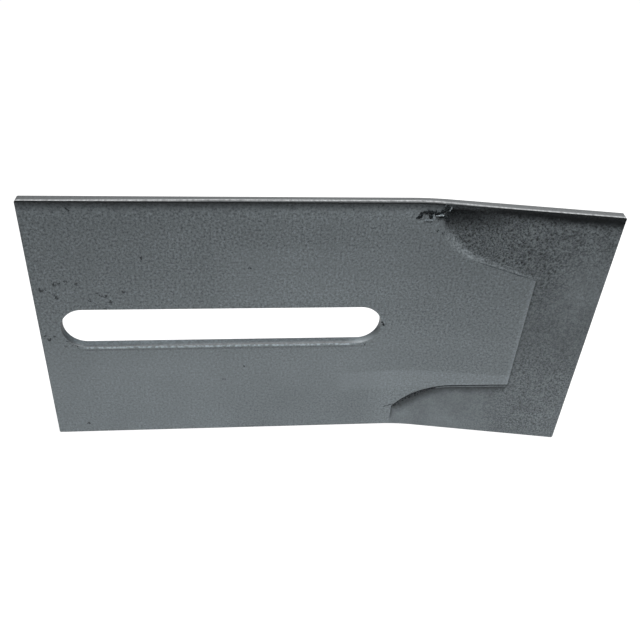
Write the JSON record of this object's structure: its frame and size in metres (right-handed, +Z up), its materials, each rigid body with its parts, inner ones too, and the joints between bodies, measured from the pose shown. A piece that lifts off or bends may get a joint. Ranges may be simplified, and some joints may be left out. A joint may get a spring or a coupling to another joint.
{
  "type": "scraper blade",
  "caption": "Flat steel scraper plate with a long adjusting slot and a slightly folded tip edged by a dark fused wear layer; bolts to a bar to clean soil off a roller.",
  "frame": {"origin": "on the floor under the middle of the bounding box, with the plate standing on its long lower edge as pictured", "axes": "+X along the plate from the bolting end to the tip, +Y from the front face (towards which the tip folds) to the rear bolting face, +Z up across the plate's width"},
  "size_m": [0.1598, 0.012, 0.08],
  "materials": {
    "blade_steel": "raw rolled steel, grey with a faint blue-green cast, fine mottled grain, matt",
    "wear_layer": "fused carbide-bearing alloy, dark grey, rough and speckled"
  },
  "bodies": {
    "root": {"scraper_blade": "blade_steel", "hard_facing_layer": "wear_layer"}
  },
  "joints": []
}
